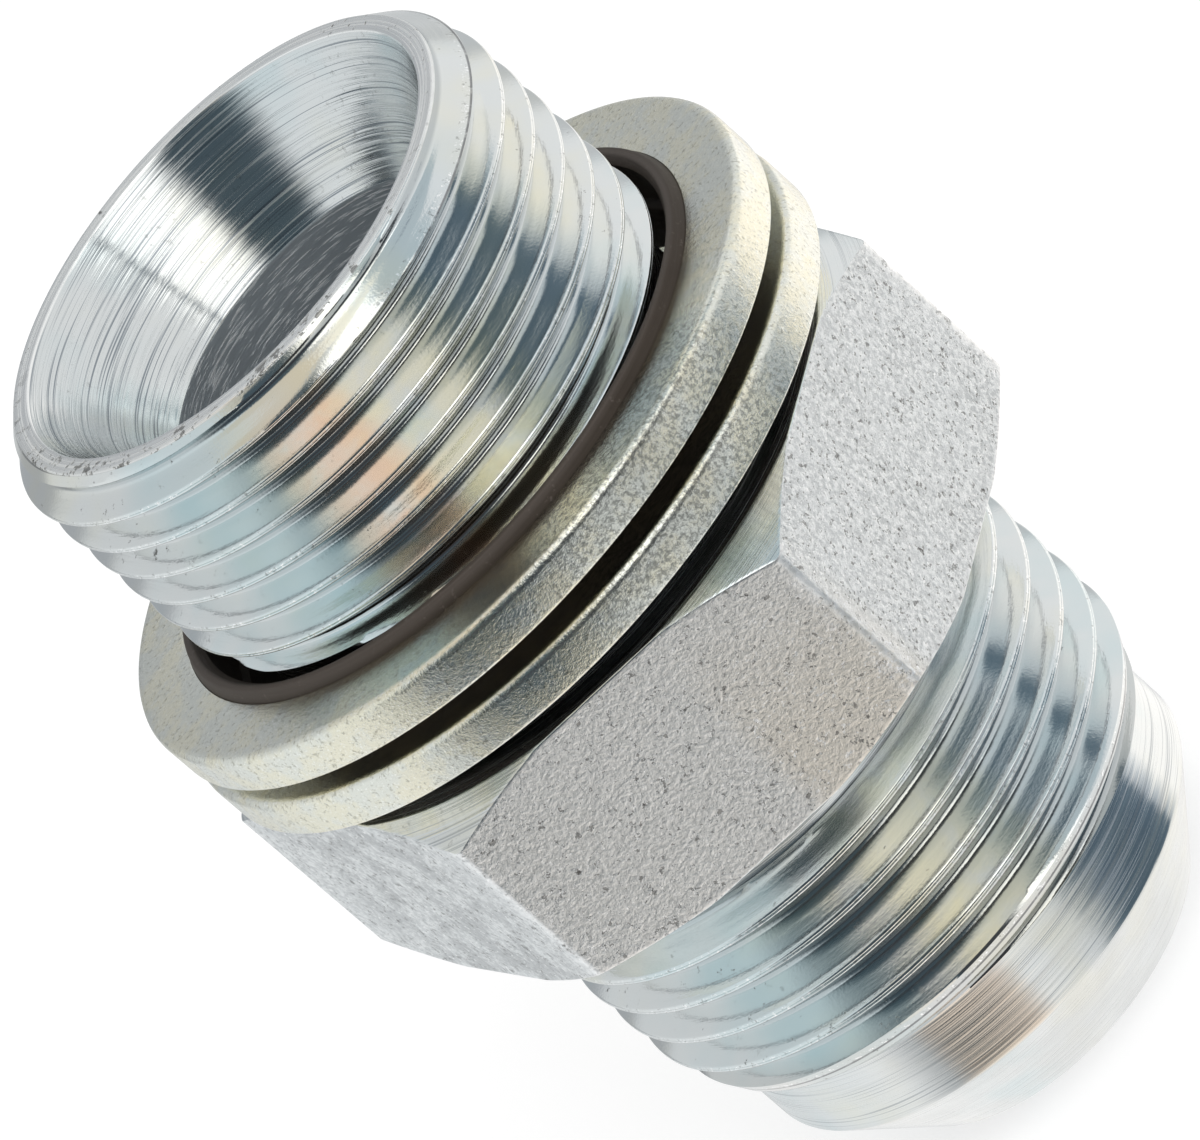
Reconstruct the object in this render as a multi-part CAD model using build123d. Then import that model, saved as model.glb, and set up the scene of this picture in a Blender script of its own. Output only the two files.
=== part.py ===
from build123d import *
import os
from math import cos, radians, sin, tan

# A straight hydraulic adapter, turned from hexagon bar. One end is a 37 degree flare nose behind
# a 1-1/16-12 thread, the other a G 3/4 parallel thread with a 60 degree cone in its mouth, and a
# straight bore joins them. Two bonded seals, each a steel washer with a rubber lip in its hole,
# lie loose on the neck between the parallel thread and the hexagon.
#
# The part stands on its flare nose, with the origin in the middle of the nose's end face and the
# bore along +Z. One flat of the hexagon faces -Y. All sizes are in millimetres, angles in degrees.

# The three lengths that add up to the whole adapter
flare_length = 21.3
hex_length = 11.0
port_length = 18.9

# Passage through both ends
bore_radius = 7.75
mouth_radius = 11.05
mouth_angle = 60.0

# Flare end: the nose, then the thread blank at its outer radius, then a relief groove
nose_tip_radius = 8.6
nose_angle = 37.0
nose_radius = 12.0
nose_end = 8.2
flare_start_radius = 12.6
flare_thread_radius = 13.495
flare_lead_angle = 24.0
flare_thread_end = 18.5
flare_relief_radius = 11.95
relief_shoulder = 0.3

# Hexagon across its flats, with a turned chamfer at each end
hex_across_flats = 31.75
hex_corner_radius = 0.5
hex_face_radius = 16.2
hex_chamfer_angle = 30.0

# Port end: the neck that carries the seals, then the thread blank and its lead chamfer
neck_radius = 11.9
neck_corner = 0.5
neck_length = 6.3
port_shoulder = 0.9
port_thread_radius = 13.22
port_rim_radius = 11.85
port_lead_angle = 45.0

# Bonded seals: the rubber lip slips over the thread, and the washer grips the rubber
seal_count = 2
rubber_clearance = 0.305
rubber_width = 0.925
rubber_crest_start = 0.325
rubber_crest_width = 0.35
rubber_height = 0.53
rubber_lip_drop = 0.35
washer_width = 3.015
washer_thickness = 2.0
washer_front_edge = 0.3
washer_back_edge = 0.12

# The loose seals lean together: the low side of the rear one rests on the hexagon. Both have
# slid a little to one side. The two sides are turns about the bore from -Y towards +X.
seal_lean = 2.25
seal_high_side = 22.0
seal_slide = 0.15
seal_slide_side = 103.0
seat_clearance = 0.02

# Places worked out from the sizes above
hex_rear = flare_length
hex_front = hex_rear + hex_length
port_face = hex_front + port_length
neck_end = hex_front + neck_length
rubber_radius = port_thread_radius + rubber_clearance
rubber_crest_inner = rubber_radius + rubber_crest_start
rubber_crest_outer = rubber_crest_inner + rubber_crest_width
washer_hole_radius = rubber_radius + rubber_width
washer_radius = washer_hole_radius + washer_width
seal_names = ["rear_seal", "front_seal"]


def turned(outline):
    """A solid of revolution about the bore, from (radius, height) corners."""
    wire = Polyline([(radius, 0, height) for radius, height in outline], close=True)
    return revolve(make_face(wire), Axis.Z)


def ring_edges(solid, radius, height):
    """The circular edges of a turned solid that have this radius and lie at this height."""
    circles = solid.edges().filter_by(GeomType.CIRCLE)
    near = 0.001
    return [
        edge
        for edge in circles
        if abs(edge.radius - radius) < near and abs(edge.arc_center.Z - height) < near
    ]


def turned_outside():
    """Both threaded ends with the neck and the relief, as one shaft without its bore."""
    nose_height = (nose_radius - nose_tip_radius) / tan(radians(nose_angle))
    flare_lead = (flare_thread_radius - flare_start_radius) / tan(radians(flare_lead_angle))
    port_lead = (port_thread_radius - port_rim_radius) / tan(radians(port_lead_angle))
    return turned(
        [
            (0, 0),
            (nose_tip_radius, 0),
            (nose_radius, nose_height),
            (nose_radius, nose_end),
            (flare_start_radius, nose_end),
            (flare_thread_radius, nose_end + flare_lead),
            (flare_thread_radius, flare_thread_end),
            (flare_relief_radius, flare_thread_end + relief_shoulder),
            (flare_relief_radius, hex_rear),
            (neck_radius, hex_front),
            (neck_radius, neck_end),
            (port_thread_radius, neck_end + port_shoulder),
            (port_thread_radius, port_face - port_lead),
            (port_rim_radius, port_face),
            (0, port_face),
        ]
    )


def hexagon():
    """The spanner hexagon, its corners rounded by the bar and turned down at both ends."""
    flats = RegularPolygon(hex_across_flats / 2, 6, major_radius=False)
    flats = fillet(flats.vertices(), hex_corner_radius)
    block = Pos(0, 0, hex_rear) * extrude(flats, hex_length)
    reach = hex_across_flats / 2 / cos(radians(30)) + 1
    drop = (reach - hex_face_radius) * tan(radians(hex_chamfer_angle))
    chamfers = turned(
        [
            (0, hex_rear),
            (hex_face_radius, hex_rear),
            (reach, hex_rear + drop),
            (reach, hex_front - drop),
            (hex_face_radius, hex_front),
            (0, hex_front),
        ]
    )
    return block & chamfers


def passage():
    """The bore with the cone in its mouth, to be cut out of the adapter."""
    mouth_depth = (mouth_radius - bore_radius) / tan(radians(mouth_angle / 2))
    return turned(
        [
            (0, 0),
            (bore_radius, 0),
            (bore_radius, port_face - mouth_depth),
            (mouth_radius, port_face),
            (0, port_face),
        ]
    )


def adapter_body():
    """The adapter: shaft and hexagon in one piece, with a sloped corner where they meet."""
    body = turned_outside() + hexagon()
    corners = ring_edges(body, neck_radius, hex_front)
    corners += ring_edges(body, flare_relief_radius, hex_rear)
    body = chamfer(corners, neck_corner)
    return body - passage()


def seal_washer():
    """A stamped steel ring about the origin, with its broken edge upward."""
    half = washer_thickness / 2
    ring = turned(
        [
            (washer_hole_radius, -half),
            (washer_radius, -half),
            (washer_radius, half),
            (washer_hole_radius, half),
        ]
    )
    ring = chamfer(ring_edges(ring, washer_radius, half), washer_front_edge)
    return chamfer(ring_edges(ring, washer_radius, -half), washer_back_edge)


def seal_rubber():
    """The lip bonded in the washer's hole, standing proud as a bead on both faces."""
    half = washer_thickness / 2
    crest = half + rubber_height
    lip = crest - rubber_lip_drop
    return turned(
        [
            (rubber_radius, -lip),
            (rubber_crest_inner, -crest),
            (rubber_crest_outer, -crest),
            (washer_hole_radius, -half),
            (washer_hole_radius, half),
            (rubber_crest_outer, crest),
            (rubber_crest_inner, crest),
            (rubber_radius, lip),
        ]
    )


def seal_place(index):
    """Where seal number index lies: leaning, and stacked bead on bead up from the hexagon."""
    lean = radians(seal_lean)
    half_stack = washer_thickness / 2 + rubber_height
    lowest = hex_front + seat_clearance + half_stack * cos(lean) + rubber_crest_outer * sin(lean)
    height = lowest + index * 2 * half_stack / cos(lean)
    side = radians(seal_slide_side)
    centre = Pos(seal_slide * sin(side), -seal_slide * cos(side), height)
    return centre * Rot(0, 0, seal_high_side) * Rot(-seal_lean, 0, 0)


nodes = {"adapter_body": adapter_body()}
for index in range(seal_count):
    nodes[seal_names[index] + "_washer"] = seal_place(index) * seal_washer()
    nodes[seal_names[index] + "_rubber"] = seal_place(index) * seal_rubber()

os.makedirs("parts", exist_ok=True)
for name, solid in nodes.items():
    export_step(solid, "parts/" + name + ".step")
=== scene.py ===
# %% [markdown]
# # A zinc plated hydraulic adapter with two bonded seals
#
# The adapter is turned from hexagon bar, its two threads are rolled, and the whole piece is
# plated with bright zinc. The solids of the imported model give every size. This lesson puts real
# threads, worn edges and plating on them, and lights them as a small product on a white table.

# %% Load the frame
from math import cos, pi, radians, sin, tan

import bmesh
import bpy
import numpy as np
from mathutils import Matrix, Vector


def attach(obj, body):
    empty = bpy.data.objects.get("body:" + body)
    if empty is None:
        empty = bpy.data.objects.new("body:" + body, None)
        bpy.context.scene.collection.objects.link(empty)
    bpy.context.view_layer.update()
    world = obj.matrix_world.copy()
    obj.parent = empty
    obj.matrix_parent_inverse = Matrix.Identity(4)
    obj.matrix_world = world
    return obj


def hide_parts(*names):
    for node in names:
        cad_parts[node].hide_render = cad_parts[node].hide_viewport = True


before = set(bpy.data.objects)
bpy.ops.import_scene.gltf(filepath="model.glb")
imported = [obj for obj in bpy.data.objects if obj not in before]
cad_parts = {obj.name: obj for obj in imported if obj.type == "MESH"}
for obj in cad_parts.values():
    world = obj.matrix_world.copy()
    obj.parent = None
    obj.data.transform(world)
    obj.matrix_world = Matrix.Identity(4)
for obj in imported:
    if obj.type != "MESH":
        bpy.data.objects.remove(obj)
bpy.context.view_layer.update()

MM = 0.001
print("nodes:", sorted(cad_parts))

# %% [markdown]
# ## Sizes
#
# A piece that stands for a solid has to lie where the solid lies, so its sizes are the maker's
# own: radii and heights in millimetres, with the origin in the middle of the nose's end face
# and the bore along +Z. Only the hexagon's skin lies 0.075 mm inside its solid, as drawn bar runs
# a little under its nominal size. An azimuth of 0 faces -Y and grows towards +X. NEAR is the
# azimuth of the side that the camera sees, and a TURN is the height at which a thread's crest
# passes it.

# %% Sizes of the adapter
BORE = 7.75
MOUTH, MOUTH_FOOT = 11.05, 45.484
NOSE_TIP, NOSE, NOSE_CONE_TOP, NOSE_TOP = 8.6, 12.0, 4.512, 8.2
FLARE_START, FLARE_CREST, FLARE_RELIEF = 12.6, 13.495, 11.95
HEX_HALF, HEX_ROUND, HEX_FACE = 15.8, 0.5, 16.1
HEX_LOW, HEX_HIGH = 21.3, 32.3
NECK, NECK_TOP = 11.9, 38.6
PORT_CREST, PORT_RELIEF, PORT_END = 13.22, 11.93, 51.12
RIM, PORT_TOP = 11.85, 51.2
FLARE_PITCH, FLARE_TURN, FLARE_END = 2.1167, 17.87, 18.8
PORT_PITCH, PORT_TURN = 1.8143, 48.07
NEAR = 12.87
print("adapter: %.1f mm long, %.1f mm across flats" % (PORT_TOP, 2 * HEX_HALF))

# %% Sizes of the seals
SEAL_THICK, SEAL_HOLE, SEAL_OUTER = 2.0, 14.45, 17.465
LIP, LIP_IN, LIP_OUT, LIP_RISE, LIP_DROP = 13.525, 13.85, 14.2, 0.53, 0.35
SEAL_LEAN, SEAL_HIGH = 2.25, 22.0
SEAL_SLIDE, SEAL_SLIDE_SIDE = 0.15, 103.0
SEAL_CENTRES = {"rear_seal": 34.406, "front_seal": 37.469}

# %% [markdown]
# ## Columns and rows
#
# Every surface here is a grid. Its columns are azimuths round the bore, and its rows are points
# of the turned profile. A turned face has the same radius at every azimuth, a hexagon doesn't,
# and a thread's rows climb by one pitch in a turn. So a row is an array with a radius and a
# height for each column. The columns crowd together at the six corners, where the bar is round.

# %% Columns round the adapter
CORNER_STEPS = np.array([0.26, 0.52, 0.79])
even = np.arange(216) * (360 / 216)
corners = 30 + 60 * np.arange(6)
near_corners = corners[:, None] + np.concatenate([-CORNER_STEPS, CORNER_STEPS])
azimuths = np.append(np.sort(np.concatenate([even, near_corners.ravel()])), 360.0)
print("columns:", azimuths.size - 1)


# %% Rows with eased corners
def row(radius, height):
    """One row of the grid: radius and height for each column."""
    return np.stack([radius + 0 * azimuths, height + 0 * azimuths])


def eased(keys, width=0.06, support=0.16):
    """Rows through the key rows, with each inner corner B between A and C broken.

    The corner is replaced by a point on BA and a point on BC, both at width from B, and by a
    point halfway between their middle and B. One more row on each side, at support from B,
    keeps the faces beside the corner flat under smooth shading. Beside a short side, width and
    support shrink to shares of its length."""
    rows = [keys[0]]
    for before, here, after in zip(keys, keys[1:], keys[2:]):
        arms = []
        for other in (before, after):
            length = np.maximum(np.hypot(*(other - here)), 1e-9)
            unit = (other - here) / length
            arms.append((unit * np.minimum(width, length * 0.28),
                         unit * np.minimum(support, length * 0.44)))
        (near_back, far_back), (near_ahead, far_ahead) = arms
        middle = here + (near_back + near_ahead) / 4
        rows += [here + far_back, here + near_back, middle]
        rows += [here + near_ahead, here + far_ahead]
    return rows + [keys[-1]]


# %% [markdown]
# ## Threads
#
# Both threads are rolled: hardened dies press the grooves in, and the metal they push up meets
# in the middle of each crest, where it leaves a fine seam. A screw modifier could sweep a
# profile, but it wouldn't fade into the lead chamfers. Here the radius is worked out at every
# point of a grid whose rows climb with the helix, and the chamfer cones then cut it back.

# %% The form of a thread
CREST_STEPS = [0.0, 0.012, 0.03, 0.055, 0.075]
FLANK_STEPS = [0.09, 0.158, 0.225, 0.293, 0.36]
ROOT_STEPS = [0.4, 0.44]
half_steps = np.array(CREST_STEPS + FLANK_STEPS + ROOT_STEPS)
steps = np.sort(np.concatenate([-half_steps[1:], half_steps, [0.5]]))
PIPE_FORM = ([0, 0.012, 0.03, 0.055, 0.075, 0.09, 0.36, 0.4, 0.44, 0.5],
             [0.05, 0.01, 0, 0.006, 0.032, 0.075, 1.02, 1.1, 1.145, 1.16])
UNIFIED_FORM = ([0, 0.012, 0.03, 0.055, 0.075, 0.09, 0.36, 0.4, 0.44, 0.5],
                [0.045, 0.008, 0, 0.008, 0.034, 0.08, 1.07, 1.18, 1.262, 1.305])


def thread_rows(low, high, pitch, crest_height, crest, form, limits):
    """Rows of a right-hand thread between two heights.

    A row keeps its place u in the pitch, so its height is that of the crest, plus u pitches,
    plus the pitch times the share of a turn, held between low and high. The radius is the
    crest's less the form's depth at u, and never more than the limits at that height."""
    first = int((low - crest_height) / pitch) - 2
    last = int((high - crest_height) / pitch) + 2
    places = (np.arange(first, last)[:, None] + steps).ravel()
    heights = crest_height + pitch * (places[:, None] + (azimuths - NEAR) / 360)
    rows = np.clip(heights, low, high)
    places = (rows - crest_height) / pitch - (azimuths - NEAR) / 360
    depth = np.interp(np.abs(places - np.round(places)), *form)
    radii = np.minimum(crest - depth, np.interp(rows, *limits))
    kept = (heights.max(axis=1) > low) & (heights.min(axis=1) < high)
    return [np.stack(pair) for pair in zip(radii[kept], rows[kept])]


# %% The two threads
FLARE_LIMITS = ([NOSE_TOP, 10.21, 18.42, 18.52, FLARE_END],
                [FLARE_START, FLARE_CREST, FLARE_CREST, 13.4, FLARE_RELIEF])
PORT_LIMITS = ([NECK_TOP, 39.02, 39.12, 49.83, PORT_END],
               [NECK, 13.16, PORT_CREST, PORT_CREST, PORT_RELIEF])
flare_thread = thread_rows(NOSE_TOP, FLARE_END, FLARE_PITCH, FLARE_TURN, FLARE_CREST,
                           UNIFIED_FORM, FLARE_LIMITS)
port_thread = thread_rows(NECK_TOP, PORT_END, PORT_PITCH, PORT_TURN, PORT_CREST,
                          PIPE_FORM, PORT_LIMITS)
print("thread rows:", len(flare_thread), len(port_thread))


# %% [markdown]
# ## The hexagon
#
# The hexagon is drawn bar, so its corners are slightly round, and the lathe has cut a cone off
# each end. Where a cone meets a flat, the edge is a curve that dips at every corner. A boolean of
# a prism and two cones would give it too, but with long thin triangles. Here each column gets the
# height at which the cone crosses the bar, and at least WORN_EDGE where the cone misses it.

# %% Rows of the hexagon
CORNER_REACH = 0.781


def hexagon_radius(azimuth):
    """Distance from the bore's axis to the bar's skin: half the width over the cosine of the
    angle from the flat's middle, or a circle about a point on the corner's line within
    CORNER_REACH degrees of that line, where the bar is round."""
    off_flat = (azimuth + 30) % 60 - 30
    off_corner = np.radians(30 - np.abs(off_flat))
    centre = (HEX_HALF - HEX_ROUND) / cos(radians(30))
    reach = np.sqrt(np.maximum(HEX_ROUND**2 - (centre * np.sin(off_corner))**2, 0))
    arc = centre * np.cos(off_corner) + reach
    flat = HEX_HALF / np.cos(np.radians(off_flat))
    return np.where(np.degrees(off_corner) < CORNER_REACH, arc, flat)


WORN_EDGE = 0.05
bar = hexagon_radius(azimuths)
face = np.minimum(HEX_FACE, bar - WORN_EDGE)
rise = np.maximum((bar - HEX_FACE) * tan(radians(30)), WORN_EDGE)
hex_rows = eased([row(FLARE_RELIEF, FLARE_END), row(FLARE_RELIEF, HEX_LOW), row(face, HEX_LOW),
                  row(bar, HEX_LOW + rise), row(bar, HEX_HIGH - rise), row(face, HEX_HIGH),
                  row(NECK, HEX_HIGH), row(NECK, NECK_TOP)])
print("hexagon corner radius: %.2f mm" % bar.max())

# %% [markdown]
# ## Nose, rim and bore
#
# Both ends are plain turned profiles: the nose is a 37 degree cone that seals against a flared
# tube, and the mouth is a 60 degree cone. A lathe profile and a spin would do, but as rows they
# join the threads without a seam. The thread's first row stands where the nose's last key row
# does, so that one is dropped.

# %% Rows of the nose, the rim and the bore
BORE_MIDDLE = 20
nose_rows = eased([row(BORE, BORE_MIDDLE), row(BORE, 0), row(NOSE_TIP, 0),
                   row(NOSE, NOSE_CONE_TOP), row(NOSE, NOSE_TOP), row(FLARE_START, NOSE_TOP)])[:-1]
mouth_rows = eased([row(PORT_RELIEF, PORT_END), row(RIM, PORT_TOP), row(MOUTH, PORT_TOP),
                    row(BORE, MOUTH_FOOT), row(BORE, BORE_MIDDLE)])
print("nose rows:", len(nose_rows), "mouth rows:", len(mouth_rows))


# %% [markdown]
# ## From rows to a mesh
#
# The rows of all the profiles, one after another, go once round the wall of the adapter: up its
# outside, over the rim and down its bore. So the grid is closed both ways and has no poles. The
# first and last columns lie on each other, and welding them closes the seam and also removes
# the faces that have no size where thread rows run out. Where a thread starts on that seam, one
# tiny triangle stays open, and it is filled.

# %% A ring of rows as a closed mesh
WELD = 2e-6


def ring_mesh(name, rows, places, finishes=None, sharp=32):
    """A closed ring from rows of (radius, height), with one finish number for each row.

    x is radius times sin(azimuth), y is minus radius times cos(azimuth), z is height."""
    grid = np.array(rows)
    count, width = grid.shape[0], grid.shape[2]
    turn = np.radians(places)
    x, y = grid[:, 0] * np.sin(turn), -grid[:, 0] * np.cos(turn)
    points = np.stack([x, y, grid[:, 1]], axis=-1).reshape(-1, 3) * MM
    here, right = np.meshgrid(np.arange(count), np.arange(width - 1), indexing="ij")
    corner = here * width + right
    above = (here + 1) % count * width + right
    quads = np.stack([corner, corner + 1, above + 1, above], axis=-1).reshape(-1, 4)
    mesh = bpy.data.meshes.new(name)
    mesh.from_pydata(points.tolist(), [], quads.tolist())
    if finishes is not None:
        mesh.polygons.foreach_set("material_index", np.repeat(finishes, width - 1))
    mesh.polygons.foreach_set("use_smooth", np.ones(len(quads), bool))
    work = bmesh.new()
    work.from_mesh(mesh)
    bmesh.ops.remove_doubles(work, verts=work.verts, dist=WELD)
    gaps = [edge for edge in work.edges if edge.is_boundary]
    bmesh.ops.holes_fill(work, edges=gaps, sides=4)
    if work.calc_volume(signed=True) < 0:
        bmesh.ops.reverse_faces(work, faces=work.faces)
    open_edges = sum(not edge.is_manifold for edge in work.edges)
    work.to_mesh(mesh)
    work.free()
    mesh.set_sharp_from_angle(angle=radians(sharp))
    mesh.calc_loop_triangles()
    print(name, len(mesh.loop_triangles), "triangles,", open_edges, "open edges")
    piece = bpy.data.objects.new(name, mesh)
    bpy.context.scene.collection.objects.link(piece)
    return piece


# %% The adapter
profile = nose_rows + flare_thread + hex_rows + port_thread + mouth_rows
TURNED, ROLLED, DRAWN, BORED = 0, 1, 2, 3
FLAT_ROWS, LOW_BORE_ROWS, HIGH_BORE_ROWS = (13, 18), 3, 4
kind = np.full(len(profile), TURNED)
start = len(nose_rows)
kind[start:start + len(flare_thread)] = ROLLED
start += len(flare_thread)
kind[start + FLAT_ROWS[0]:start + FLAT_ROWS[1]] = DRAWN
start += len(hex_rows)
kind[start:start + len(port_thread)] = ROLLED
kind[:LOW_BORE_ROWS] = BORED
kind[-HIGH_BORE_ROWS:] = BORED
adapter = ring_mesh("plated_adapter", profile, azimuths, kind)

# %% [markdown]
# ## The bonded seals
#
# Each seal is a stamped washer with a rubber lip vulcanised into its hole. The die rounds the
# washer's front edge and leaves its back edge almost sharp. The two seals lie loose on the neck,
# lean a little and have slid to one side, so their meshes are turned and moved as their solids
# are.

# %% Rings of the seals
seal_azimuths = np.linspace(0, 360, 241)
SUPPORT = 0.08


def ring_rows(corners, easings):
    """Rows of a turned ring from the (radius, height) corners of its section.

    Each corner B is rounded between two tangent points A and C, at its easing from B, by the
    curve A(1-t)^2 + 2Bt(1-t) + Ct^2. One more row after C keeps the next face flat."""
    corners, rows = np.array(corners, float), []
    for index, easing in enumerate(easings):
        here = corners[index]
        back, ahead = corners[index - 1] - here, corners[(index + 1) % len(corners)] - here
        back, ahead = back / np.hypot(*back), ahead / np.hypot(*ahead)
        start, end = here + back * easing, here + ahead * easing
        share = np.array([0, 0.25, 0.5, 0.75, 1])[:, None]
        rows.append(start * (1 - share)**2 + here * 2 * share * (1 - share) + end * share**2)
        rows.append([end + ahead * SUPPORT])
    return [np.stack([r + 0 * seal_azimuths, z + 0 * seal_azimuths])
            for r, z in np.concatenate(rows)]


half = SEAL_THICK / 2
WASHER = [(SEAL_HOLE, -half), (SEAL_OUTER, -half), (SEAL_OUTER, half), (SEAL_HOLE, half)]
lip_top = half + LIP_RISE
RUBBER = [(LIP, LIP_DROP - lip_top), (LIP_IN, -lip_top), (LIP_OUT, -lip_top), (SEAL_HOLE, -half),
          (SEAL_HOLE, half), (LIP_OUT, lip_top), (LIP_IN, lip_top), (LIP, lip_top - LIP_DROP)]

# %% Place the seals
seals = {}
for seal, height in SEAL_CENTRES.items():
    side = radians(SEAL_SLIDE_SIDE)
    centre = Vector((SEAL_SLIDE * sin(side), -SEAL_SLIDE * cos(side), height)) * MM
    lean = (Matrix.Translation(centre) @ Matrix.Rotation(radians(SEAL_HIGH), 4, "Z")
            @ Matrix.Rotation(radians(-SEAL_LEAN), 4, "X"))
    washer = ring_mesh(seal + "_plated_washer", ring_rows(WASHER, [0.05, 0.12, 0.42, 0.05]),
                       seal_azimuths)
    rubber = ring_mesh(seal + "_lip", ring_rows(RUBBER, [0.1, 0.1, 0.1, 0.02] * 2),
                       seal_azimuths)
    for piece, part in ((washer, "_washer"), (rubber, "_rubber")):
        piece.data.transform(lean)
        seals[seal + part] = piece

# %% [markdown]
# ## Shader maths in Python
#
# A finish is a formula on the place in millimetres. Written as nodes by hand it is unreadable,
# so a small class wraps a socket, and Python's own operators add the Math nodes.


# %% A socket with operators
class Value:
    """A socket of a node tree, or a number, that can be used in sums."""

    def __init__(self, tree, socket):
        self.tree, self.socket = tree, socket

    def node(self, kind, settings=None, inputs=None, out=0):
        """Any node: its settings are set first, then values or links go to its sockets."""
        made = self.tree.nodes.new(kind)
        for key, value in (settings or {}).items():
            setattr(made, key, value)
        for key, value in (inputs or {}).items():
            if isinstance(value, Value):
                self.tree.links.new(value.socket, made.inputs[key])
            else:
                made.inputs[key].default_value = value
        return Value(self.tree, made.outputs[out] if made.outputs else None)

    def math(self, operation, *others):
        """A Math node, with this value in its first socket and the others after it."""
        inputs = dict(enumerate((self,) + others))
        return self.node("ShaderNodeMath", {"operation": operation}, inputs)

    def __add__(self, other):
        return self.math("ADD", other)

    def __sub__(self, other):
        return self.math("SUBTRACT", other)

    def __mul__(self, other):
        return self.math("MULTIPLY", other)

    def __truediv__(self, other):
        return self.math("DIVIDE", other)

    def __pow__(self, other):
        return self.math("POWER", other)

    __radd__ = __add__
    __rmul__ = __mul__

    def __rsub__(self, other):
        return self.math("MULTIPLY_ADD", -1.0, other)

    def __abs__(self):
        return self.math("ABSOLUTE")

    def least(self, other):
        return self.math("MINIMUM", other)

    def most(self, other):
        return self.math("MAXIMUM", other)

    def step(self, low, high):
        """0 below low, 1 above high, and a smooth slope between them. Low may be above high."""
        settings = {"interpolation_type": "SMOOTHSTEP"}
        if low > high:
            return 1 - self.step(high, low)
        inputs = {"Value": self, "From Min": low, "From Max": high}
        return self.node("ShaderNodeMapRange", settings, inputs)


def mix(share, first, second):
    """A colour that goes from first to second as share goes from 0 to 1."""
    first = (*first, 1) if isinstance(first, tuple) else first
    second = (*second, 1) if isinstance(second, tuple) else second
    return share.node("ShaderNodeMix", {"data_type": "RGBA"},
                      {0: share, 6: first, 7: second}, out=2)


def mix_number(share, first, second):
    """A number that goes from first to second as share goes from 0 to 1."""
    return first + (second - first) * share


# %% [markdown]
# ## Where a mark sits
#
# Marks on turned ware follow the radius, the height or the azimuth. An unwrapped texture would
# need seams and a painted picture. Object coordinates are there anyway, stay with the mesh, and
# give all three with a few sums, so one class works them out for every finish.

# %% Places on a piece, in millimetres
class Place:
    """The Object coordinates of a material in millimetres, with the radius and the height, the
    sine and cosine of the azimuth, and the patterns that the finishes share."""

    def __init__(self, name):
        self.material = bpy.data.materials.new(name)
        self.material.use_nodes = True
        self.tree = self.material.node_tree
        self.shader = self.tree.nodes["Principled BSDF"]
        start = Value(self.tree, None)
        point = start.node("ShaderNodeTexCoord", out=3)
        self.point = point.node("ShaderNodeVectorMath", {"operation": "SCALE"},
                                {0: point, 3: 1 / MM})
        parts = self.tree.nodes.new("ShaderNodeSeparateXYZ")
        self.tree.links.new(self.point.socket, parts.inputs[0])
        self.x, self.y, self.z = (Value(self.tree, socket) for socket in parts.outputs)
        self.radius = (self.x * self.x + self.y * self.y) ** 0.5
        self.side = self.x / self.radius
        self.front = 0 - self.y / self.radius
        self.azimuth = self.side.math("ARCTAN2", self.front) * (180 / pi)

    def noise(self, scale, detail=2.0, rough=0.5, at=None):
        """Noise with about scale cells in a millimetre."""
        return self.point.node("ShaderNodeTexNoise", {"noise_dimensions": "3D"},
                               {"Vector": at or self.point, "Scale": scale, "Detail": detail,
                                "Roughness": rough})

    def turning(self, fine, along, detail):
        """Noise drawn out round the bore, as a lathe tool leaves it: fine cells in a millimetre
        across the marks, and along cells in a radian along them."""
        vector = self.x.node("ShaderNodeCombineXYZ", None, {
            0: self.side * along, 1: self.front * along, 2: self.z * fine})
        return self.x.node("ShaderNodeTexNoise", {"noise_dimensions": "4D"},
                           {"Vector": vector, "W": self.radius * fine, "Scale": 1.0,
                            "Detail": detail, "Roughness": 0.6})

    def toward(self, azimuth, half_width, soft):
        """1 within half_width degrees of an azimuth, fading to 0 over soft more degrees."""
        turn = radians(azimuth)
        level = self.side * sin(turn) + self.front * cos(turn)
        edge = radians(min(half_width + soft, 180))
        return level.step(cos(edge), cos(radians(half_width)))

    def crest(self, height, pitch):
        """How far a point is from the nearest crest of a thread, in pitches, positive above it.

        It is the height over one crest in pitches less the turn, without its whole part."""
        turns = (self.z - height) / pitch - (self.azimuth - NEAR) / 360
        return (turns + 0.5).math("FRACT") - 0.5

    def bump(self, height, depth):
        """A Bump node that raises the surface by depth millimetres where height is 1."""
        inputs = {"Height": height, "Distance": depth * MM, "Strength": 1.0}
        return height.node("ShaderNodeBump", None, inputs)

    def finish(self, colour, rough, normal, metallic=1.0, **constants):
        """Colour, roughness and normal go to the shader, and constants to its own sockets."""
        for key, value in (("Base Color", colour), ("Roughness", rough), ("Normal", normal)):
            self.tree.links.new(value.socket, self.shader.inputs[key])
        self.shader.inputs["Metallic"].default_value = metallic
        for key, value in constants.items():
            self.shader.inputs[key.replace("_", " ")].default_value = value
        print(self.material.name, len(self.tree.nodes), "nodes")
        return self.material


# %% [markdown]
# ## Zinc plate
#
# Bright zinc is a bluish silver with a clear passivate on it, which drifts to straw, pink and
# pale teal where it is thicker. The bar under it shows through: a lathe leaves rings, rolling
# leaves smooth flanks, and drawn bar keeps a fine grain.

# %% Shared colours
ZINC = (0.76, 0.78, 0.78)
STRAW = (0.84, 0.80, 0.62)
TEAL = (0.50, 0.68, 0.72)
ROSE = (0.86, 0.62, 0.46)
GRIME = (0.09, 0.085, 0.075)


def plated(place, spread=0.12):
    """Zinc with a slow drift of straw and teal, about one change in a third of an inch."""
    drift = place.noise(spread, 3.0, 0.6)
    warm = mix(drift.step(0.5, 0.72) * 0.4, ZINC, STRAW)
    return mix(drift.step(0.5, 0.3) * 0.35, warm, TEAL)


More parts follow.
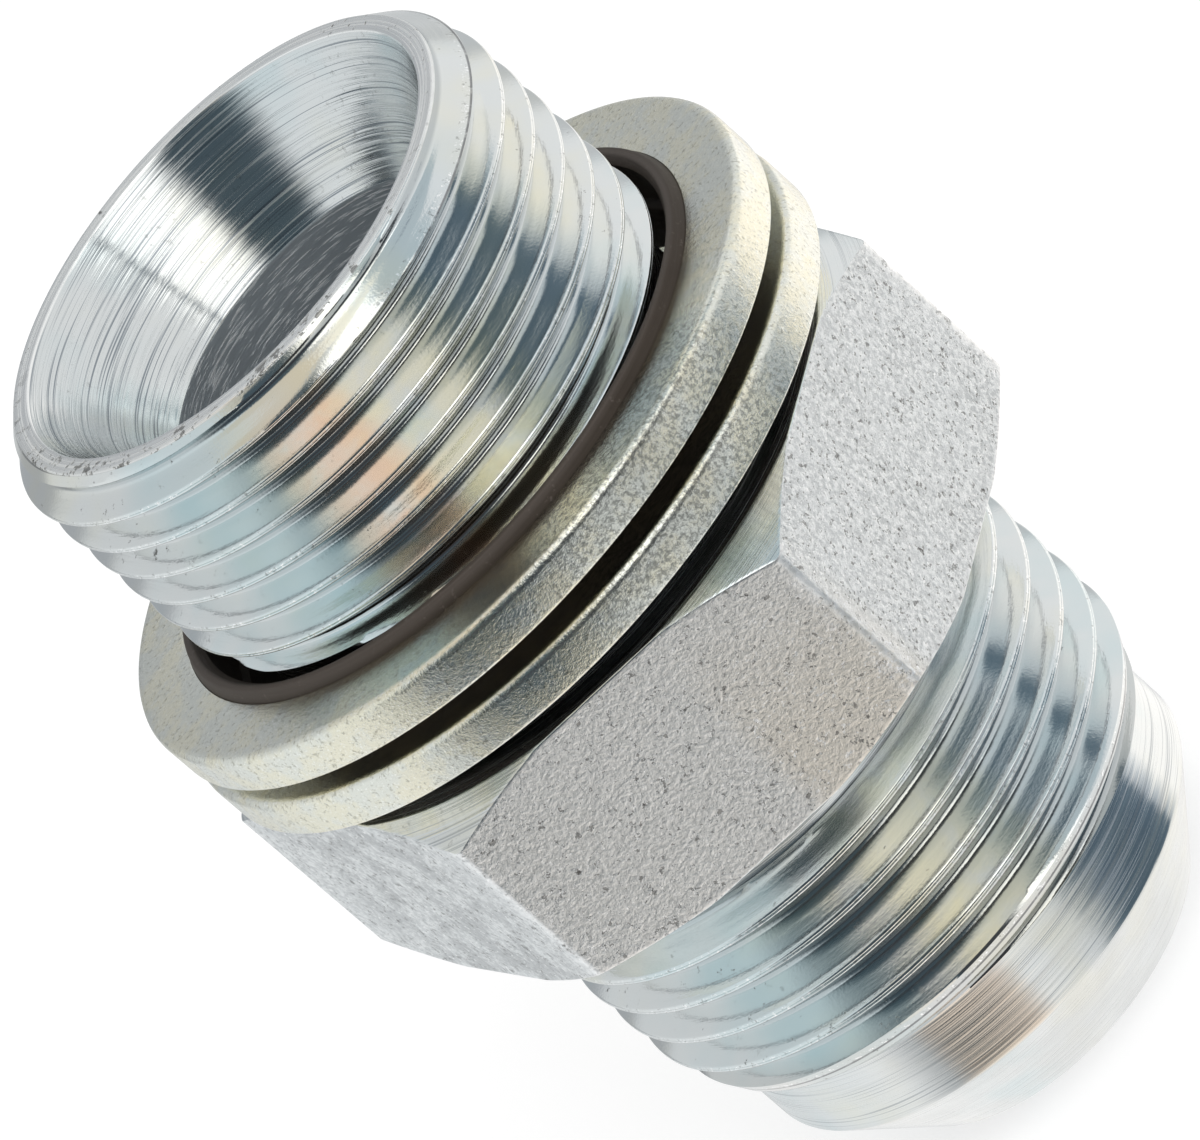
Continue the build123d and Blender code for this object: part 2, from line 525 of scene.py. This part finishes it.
# %% [markdown]
# ## Turned faces
#
# A lathe tool leaves a ring at every turn, a hundredth of a millimetre deep, over the rim, the
# mouth and the nose. Rings as fine as that would take millions of faces, so they are noise drawn
# out round the bore, which feeds the colour, the roughness and the bump alike. The rim was
# knocked about in the plating barrel, and it gets nicks and worn patches as well.

# %% Turned faces, cones and the nose
place = Place("turned_zinc")
rings = place.turning(3.6, 0.5, 2.0)
fine = place.turning(12.0, 0.7, 2.0)
blotch = place.noise(0.35, 4.0, 0.6)
cuts = fine.step(0.46, 0.36)
ridges = fine.step(0.52, 0.64)
smooth_cone = place.z.step(4.9, 4.3)
land = place.z.step(51.1, 51.16)
rim = place.z.step(49.6, 50.2) * place.radius.step(11.0, 11.4)
specks = place.noise(2.4, 3.0, 0.7).step(0.6, 0.7) * place.noise(0.25, 2.0).step(0.42, 0.6)
nicks = place.noise(1.3, 4.0, 0.75).step(0.54, 0.60) * rim * place.toward(-25, 44, 60)
dirt = (specks * (0.3 + rim * 0.5) * place.z.step(18, 30) + nicks * 0.7).least(0.9)
cylinder = place.z.step(9, 7.5) * place.z.step(4.4, 4.7)
# A brown patch on the nose cylinder round azimuth -4: partly a plating tint and partly a painted
# warm reflection.
brown_tint_and_reflection = place.toward(-4, 7, 7) * cylinder * (0.6 + rings * 0.6)
# Painted reflection: a dark slate patch on the nose cylinder round azimuth 46, streaked by the
# rings.
nose_dark_reflection = place.toward(46, 11, 8) * cylinder * (rings + fine).step(0.85, 1.05)
mouth = place.z.step(45, 45.6) * place.radius.step(11.2, 11.0)
# marks also darken the whole mouth cone a little: that share is painted shade in the port's mouth,
# and the rest is the lathe's cuts.
marks = (cuts * (0.55 + mouth * 0.3) + mouth * 0.12) * (1 - smooth_cone * 0.8)
colour = mix(marks, plated(place), (0.26, 0.29, 0.32))
# Painted highlight: the rim's flat land is painted almost white.
colour = mix(land * 0.8, colour, (0.97, 0.97, 0.96))
worn = rim * blotch.step(0.35, 0.6) * place.radius.step(11.8, 12.0)
colour = mix(worn * 0.45, colour, (0.46, 0.46, 0.45))
colour = mix(brown_tint_and_reflection * 0.6, colour, (0.72, 0.56, 0.42))
colour = mix(nose_dark_reflection * 0.6, colour, (0.28, 0.35, 0.42))
colour = mix(smooth_cone * blotch.step(0.35, 0.65) * 0.3, colour, (0.60, 0.61, 0.60))
colour = mix(dirt, colour, GRIME)
rough = 0.08 + ridges * 0.24 + cuts * 0.1 + blotch * 0.06 + rim * 0.12
relief = (rings + fine * 0.6) * (1 - smooth_cone * 0.75 - cylinder * 0.5)
relief = relief + (nicks + specks * rim) * -0.8
normal = place.bump(relief, 0.022)
turned = place.finish(colour, rough, normal, Anisotropic=0.4, Anisotropic_Rotation=0.25)

# %% [markdown]
# ## Rolled threads
#
# The dies burnish the flanks almost to a mirror, and the plating wears first at the crests. A
# pattern painted on the mesh would have to be unwrapped along the helix. The distance from the
# nearest crest is one formula of height and azimuth instead, and the dark seam line under each
# crest, the chips, the painted glints and the darkened roots all come from it. The seam line and
# the roots are partly dirt and partly painted shade. The tints lie at fixed azimuths: rose, straw
# and teal are partly passivate and partly painted reflections, with a painted highlight in the
# straw, and the slate blue is painted shade.

# %% Rolled threads
place = Place("rolled_zinc")
streaks = place.turning(4.0, 3.0, 3.0)
satin = place.noise(8.0, 2.0, 0.6)
blotch = place.noise(0.5, 4.0, 0.6)
port_end = place.z.step(36, 38) * place.z.step(50.2, 49.6)
# Rose and teal are partly passivate and partly painted reflections, at fixed azimuths.
rose = place.toward(-5, 6, 8) * port_end * blotch.step(0.3, 0.55)
# Straw is partly passivate and partly a painted cream highlight round azimuth 17.
straw = place.toward(17, 11, 9) * blotch.step(0.7, 0.45)
teal = place.toward(-25, 9, 12)
# Painted shade: the threads round azimuth 44 are darkened to slate blue.
shade = place.toward(44, 12, 12)
specks = place.noise(1.8, 4.0, 0.75).step(0.62, 0.70) * place.toward(-38, 28, 22)
specks = specks * place.noise(0.35, 2.0).step(0.46, 0.58)
knocks = place.noise(1.7, 3.0, 0.75).step(0.7, 0.74)
colour = mix(straw * 0.4, plated(place), STRAW)
colour = mix(rose * 0.42, colour, ROSE)
colour = mix(teal * 0.35, colour, TEAL)
colour = mix(shade * 0.25, colour, (0.50, 0.60, 0.66))
flare_end = place.z.step(20, 19)
crest = mix_number(flare_end, place.crest(PORT_TURN, PORT_PITCH),
                   place.crest(FLARE_TURN, FLARE_PITCH))
# A dark line just under each crest: dirt in the rolling seam, and painted shade where the crest
# turns away.
seam_dirt_and_shade = abs(crest + 0.082).step(0.040, 0.018) * place.noise(0.8, 4.0, 0.8).step(0.25, 0.50)
chips = abs(crest).step(0.09, 0.06) * place.noise(3.2, 3.0, 0.8).step(0.58, 0.66)
# Painted glints: white dots along the crests.
crest_glints = abs(crest).step(0.08, 0.05) * place.noise(4.0, 3.0, 0.8).step(0.56, 0.64)
# The roots are darkened: partly dirt and partly painted shade in the grooves.
root = abs(crest).step(0.38, 0.46)
# Painted shade: the flare's lead, below 10 mm, is darkened.
lead = place.z.step(10.0, 9.4)
colour = mix(lead * 0.35, colour, (0.50, 0.49, 0.46))
colour = mix(root * 0.45, colour, (0.30, 0.33, 0.35))
colour = mix(crest_glints * 0.8, colour, (1.0, 1.0, 1.0))
colour = mix(seam_dirt_and_shade * 0.75, colour, (0.12, 0.12, 0.13))
colour = mix((specks + knocks * 0.6 + chips * 0.5).least(1.0) * 0.8, colour, GRIME)
rough = 0.07 + streaks * 0.05 + blotch * 0.05 + specks * 0.3
normal = place.bump(streaks + satin * 0.5 + specks * 0.5, 0.008)
rolled = place.finish(colour, rough, normal)

# %% [markdown]
# ## Drawn flats
#
# The flats were never machined. They keep the skin of the drawn bar, which pickling has etched, so
# they are matt where the turned faces shine. The mesh could be displaced, but pits this small
# need no outline: a grain, fine pits, single holes and painted glints are four noises of their own
# size. Light is painted on the flats too: the flat at azimuth 0 is lighter, a warm painted
# reflection lies beside its corner, painted shade darkens the flat at azimuth -58 in streaks, and
# the corners are white, partly as wear and partly as painted highlights.

# %% Drawn flats of the hexagon
place = Place("drawn_zinc")
grain = place.noise(3.6, 4.0, 0.75)
pits = place.noise(3.4, 3.0, 0.7).step(0.60, 0.66)
holes = place.noise(2.0, 3.0, 0.7).step(0.63, 0.66)
glints = place.noise(4.6, 2.0, 0.7).step(0.60, 0.68)
cloud = place.noise(0.3, 3.0)
# Painted reflection: a warm beige stripe on the flat at azimuth 0 beside its corner, fading
# towards the port end.
warm = place.toward(21, 8, 6) * place.z.step(33, 23)
# The corners get white specks: partly wear and partly a painted highlight along the edges.
corner = place.radius.step(17.75, 18.08) * place.noise(1.1, 4.0, 0.8).step(0.42, 0.58)
colour = mix(grain.step(0.38, 0.62), (0.60, 0.615, 0.62), (0.90, 0.91, 0.91))
colour = mix(cloud.step(0.35, 0.65) * 0.25, colour, (0.85, 0.87, 0.88))
# Painted light: the flat that faces azimuth 0 is painted lighter than the others.
colour = mix(place.toward(0, 24, 8) * 0.4, colour, (0.88, 0.87, 0.855))
colour = mix(warm * 0.5, colour, (0.86, 0.78, 0.66))
# Painted shade: the flat round azimuth -58 is darkened, in streaks.
left_flat_shade = place.toward(-58, 14, 16) * place.noise(0.5, 3.0, 0.7).step(0.40, 0.60)
colour = mix(left_flat_shade * 0.5, colour, (0.36, 0.37, 0.38))
colour = mix((pits * 0.7 + holes * 0.65).least(1.0), colour, (0.15, 0.145, 0.14))
# Painted highlights: the glints are white dots in the colour, and the corners are white as well.
colour = mix((glints * 0.9 + corner * 0.6).least(1.0), colour, (1.0, 1.0, 1.0))
rough = 0.24 + grain * 0.16
normal = place.bump(grain - pits * 0.5 - holes * 0.7, 0.036)
drawn = place.finish(colour, rough, normal)

# %% [markdown]
# ## The bore
#
# A drill leaves slanting scratches in a bore, and the plating bath hardly reaches it. Noise that
# is stretched along a tilted axis gives the scratches, and a darker and less metallic base gives
# the thin plate, so the hole stays grey instead of mirroring its own wall.

# %% The bore
place = Place("bored_zinc")
rings = place.turning(4.0, 1.5, 4.0)
tilted = place.point.node("ShaderNodeMapping", None,
                          {0: place.point, 2: (0.5, 0.35, 0.2), 3: (0.25, 0.25, 4.5)})
scratches = place.noise(2.4, 3.0, 0.7, at=tilted).step(0.54, 0.64)
colour = mix(scratches * 0.7, (0.44, 0.48, 0.51), (1.0, 1.0, 1.0))
normal = place.bump(rings + scratches * 0.4, 0.02)
bored = place.finish(colour, 0.34 + rings * 0.2, normal, metallic=0.75)

# %% [markdown]
# ## The adapter's slots
#
# Each row of the grid has the number of its finish already, so the materials go on in the order
# of those numbers. The piece then rides on its body and takes the place of its solid.

# %% Finish the adapter
for material in (turned, rolled, drawn, bored):
    adapter.data.materials.append(material)
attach(adapter, "root")
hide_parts("adapter_body")

# %% [markdown]
# ## Washers
#
# The washers were barrel plated in a heap, so they are duller and yellower than the adapter and
# full of small knocks. Knocks have no direction, so plain noise at two sizes gives them, and the
# same noise makes them rough, dark and deep in the same places.

# %% Washer plate
place = Place("washer_zinc")
cloud = place.noise(0.45, 4.0, 0.65)
knocks = place.noise(4.2, 4.0, 0.75)
sugar = place.noise(9.0, 2.0, 0.7)
tint = cloud.step(0.4, 0.6)
dark = place.toward(30, 14, 12) * knocks.step(0.46, 0.56)
colour = mix(tint * 0.8, (0.78, 0.79, 0.73), (0.86, 0.82, 0.66))
colour = mix(knocks.step(0.53, 0.66) * 0.6, colour, (0.32, 0.31, 0.25))
colour = mix(dark * 0.6, colour, (0.26, 0.27, 0.25))
colour = mix(sugar.step(0.57, 0.68) * 0.6, colour, (1.0, 1.0, 0.96))
rough = 0.10 + knocks * 0.12 + tint * 0.05
normal = place.bump(knocks + sugar * 0.5, 0.022)
washer_plate = place.finish(colour, rough, normal)

# %% [markdown]
# ## Rubber
#
# The rubber is black with a brown bloom, and the turned mould prints its fine rings on it. It is
# no metal, so a low specular level and a high roughness keep its highlights broad and faint.

# %% Rubber
place = Place("moulded_rubber")
rings = place.turning(7.0, 1.0, 3.0)
dust = place.noise(3.0, 3.0, 0.7).step(0.60, 0.75)
bloom = place.noise(0.4, 3.0)
crown = place.radius.step(13.6, 13.85) * place.radius.step(14.35, 14.15)
colour = mix(bloom * 0.6, (0.030, 0.022, 0.016), (0.055, 0.043, 0.034))
colour = mix(crown * (0.3 + rings * 0.5), colour, (0.095, 0.080, 0.070))
colour = mix(dust * 0.3, colour, (0.19, 0.16, 0.14))
rubber_black = place.finish(colour, 0.5 + rings * 0.15, place.bump(rings, 0.025), 0.0,
                            Specular_IOR_Level=0.25)

# %% [markdown]
# ## The seals' slots
#
# A washer and its lip are bonded, but they are two materials, so each replaces its own solid.

# %% Finish the seals
for node, piece in seals.items():
    metal = node.endswith("washer")
    piece.data.materials.append(washer_plate if metal else rubber_black)
    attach(piece, "root")
    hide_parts(node)

# %% [markdown]
# ## The camera
#
# A long lens from half a metre away, 26 degrees above the port's plane. The camera is rolled,
# so that the adapter lies across the picture with its port at the upper left.

# %% Camera
DISTANCE, ASIDE, HEIGHT = 0.4690, 0.00019, 0.2600
TILT, ROLL = radians(63.70), radians(-138.67)
near = Vector((sin(radians(NEAR)), -cos(radians(NEAR)), 0))
right = Vector((cos(radians(NEAR)), sin(radians(NEAR)), 0))
up = Vector((0, 0, 1))
near_seen = Vector((-cos(TILT) * cos(ROLL), -cos(TILT) * sin(ROLL), -sin(TILT)))
up_seen = Vector((sin(TILT) * cos(ROLL), sin(TILT) * sin(ROLL), -cos(TILT)))
right_seen = up_seen.cross(near_seen)
turned_axes = [near * near_seen[i] + right * right_seen[i] + up * up_seen[i] for i in range(3)]
basis = Matrix((turned_axes[0], -turned_axes[1], -turned_axes[2])).transposed().to_4x4()
lens = bpy.data.cameras.new("camera")
lens.lens, lens.sensor_width = 373.8, 36
lens.clip_start, lens.clip_end = 0.05, 10
camera = bpy.data.objects.new("camera", lens)
camera.matrix_world = Matrix.Translation(near * DISTANCE + right * ASIDE + up * HEIGHT) @ basis
bpy.context.scene.collection.objects.link(camera)
bpy.context.scene.camera = camera
print("camera: %.1f degrees wide" % (2 * 180 / pi * np.arctan(lens.sensor_width / 2 / lens.lens)))

# %% [markdown]
# ## The studio
#
# Polished metal shows the room it stands in, so the room is the light. The world is white for
# the camera, and for what metal mirrors it has the softboxes and the dark flags of a product
# table. Each is a soft oval about one direction. Matt surfaces get one plain level.


# %% World
world = bpy.data.worlds.new("studio")
world.use_nodes = True
bpy.context.scene.world = world
tree = world.node_tree
tree.nodes.clear()
start = Value(tree, None)
look = start.node("ShaderNodeTexCoord", out=0)


def along(vector):
    """How far the direction looked in goes along a vector."""
    return look.node("ShaderNodeVectorMath", {"operation": "DOT_PRODUCT"},
                     {0: look, 1: tuple(vector)}, out=1)


def oval(azimuth, elevation, width, height, turn, soft):
    """1 inside an oval of the sky and 0 outside: its half width and half height in degrees,
    turned about its middle. Azimuth is measured from the near side, rightwards."""
    a, e, t = radians(azimuth), radians(elevation), radians(turn)
    centre = (near * cos(a) + right * sin(a)) * cos(e) + up * sin(e)
    level = right * cos(a) - near * sin(a)
    rising = up * cos(e) - (near * cos(a) + right * sin(a)) * sin(e)
    across = along(level * cos(t) + rising * sin(t)) / sin(radians(width))
    upward = along(rising * cos(t) - level * sin(t)) / sin(radians(height))
    squared = across * across + upward * upward
    ahead = along(centre).step(-0.02, 0.05)
    return squared.step(1 + soft, 1 - soft) * ahead


SKY = [  # azimuth, elevation, half width, half height, turn, softness, colour
    (-71, -14, 67, 85, -60, 0.6, (0.90, 0.93, 0.94)),
    (188, 12, 14, 45, 51, 0.3, (0.42, 0.44, 0.46)),
    (-100, 72, 40, 11, -11, 0.4, (0.72, 0.66, 0.55)),
    (129, 9, 16, 84, -26, 0.2, (0.84, 0.86, 0.86)),
    (-18, -90, 52, 75, 27, 0.25, (1.04, 1.03, 1.02)),
    (-14, 28, 37, 78, -34, 0.32, (0.07, 0.10, 0.12)),
    (35, 58, 25, 42, -40, 0.35, (1.65, 1.64, 1.60)),
    (94, 23, 72, 34, 33, 0.12, (0.92, 0.93, 0.93)),
    (102, 66, 34, 15, -8, 0.25, (0.56, 0.63, 0.66)),
    (132, 60, 7, 9, 0, 0.7, (0.19, 0.24, 0.28)),
    (80, -29, 7, 26, 0, 0.4, (0.16, 0.22, 0.27)),
    (128, -24, 30, 30, 0, 0.5, (1.25, 1.22, 1.18)),
    (52, -33, 24, 10, 16, 0.4, (0.13, 0.18, 0.22)),
    (38, 36, 1.7, 30, 0, 0.5, (0.28, 0.31, 0.33)),
    (-33, -44, 24, 13, 0, 0.5, (1.14, 1.08, 1.00)),
    (162, 82, 7, 7, 0, 0.5, (1.15, 1.12, 1.02)),
    (0, 4, 62, 14, 0, 0.25, (0.06, 0.065, 0.075)),
]
sky = (0.60, 0.62, 0.63)
for azimuth, elevation, width, height, turn, soft, colour in SKY:
    sky = mix(oval(azimuth, elevation, width, height, turn, soft), sky, colour)
print("sky:", len(SKY), "ovals")
rays = tree.nodes.new("ShaderNodeLightPath")
is_camera = Value(tree, rays.outputs["Is Camera Ray"])
is_glossy = Value(tree, rays.outputs["Is Glossy Ray"])
is_clear = Value(tree, rays.outputs["Is Transmission Ray"])
shown = mix(is_glossy, (0.8, 0.8, 0.8), sky)
shown = mix(is_camera.most(is_clear), shown, (1.0, 1.0, 1.0))
background = start.node("ShaderNodeBackground", None, {"Color": shown, "Strength": 1.0})
start.node("ShaderNodeOutputWorld", None, {"Surface": background})

# %% [markdown]
# ## The paper
#
# The adapter stands on its nose on white paper. Matt white alone renders grey, and a glowing
# floor alone loses the shadow, so the two are added. The glow is for the camera only, so that it
# lights nothing, and mirrors see the sky through the paper.

# %% Floor
floor_mesh = bpy.data.meshes.new("floor")
floor_mesh.from_pydata([(-3, -3, 0), (3, -3, 0), (3, 3, 0), (-3, 3, 0)], [], [(0, 1, 2, 3)])
floor = bpy.data.objects.new("floor", floor_mesh)
bpy.context.scene.collection.objects.link(floor)
paper = bpy.data.materials.new("white_paper")
paper.use_nodes = True
tree = paper.node_tree
tree.nodes.clear()
start = Value(tree, None)
rays = tree.nodes.new("ShaderNodeLightPath")
is_camera = Value(tree, rays.outputs["Is Camera Ray"])
matt = start.node("ShaderNodeBsdfDiffuse", None, {"Color": (0.5, 0.5, 0.5, 1)})
PAPER_GLOW = 0.6
glow = start.node("ShaderNodeEmission", None,
                  {"Color": (1, 1, 1, 1), "Strength": is_camera * PAPER_GLOW})
both = start.node("ShaderNodeAddShader", None, {0: matt, 1: glow})
start.node("ShaderNodeOutputMaterial", None, {"Surface": both})
floor_mesh.materials.append(paper)
floor.visible_glossy = False
print("paper: glow", PAPER_GLOW)

# %% [markdown]
# ## The key lamp
#
# The sky shapes the mirrors, but it gives the rubber no highlight and the floor no shadow. One
# softbox does both, at the level where a colour renders about as it is written. It is hidden from
# mirrors, which have an oval of the sky in its place.

# %% Key lamp
LAMP_DISTANCE = 0.5
lamp = bpy.data.lights.new("softbox", "AREA")
lamp.shape, lamp.size, lamp.size_y, lamp.energy = "RECTANGLE", 0.3, 0.3, 0.9
softbox = bpy.data.objects.new("softbox", lamp)
side, height = radians(20), radians(50)
toward = (near * cos(side) + right * sin(side)) * cos(height) + up * sin(height)
softbox.location = toward * LAMP_DISTANCE
softbox.rotation_mode = "QUATERNION"
softbox.rotation_quaternion = toward.to_track_quat("Z", "Y")
softbox.visible_glossy = False
bpy.context.scene.collection.objects.link(softbox)
bpy.context.scene.view_settings.view_transform = "Standard"
print("softbox: %.1f W at %.1f m" % (lamp.energy, LAMP_DISTANCE))
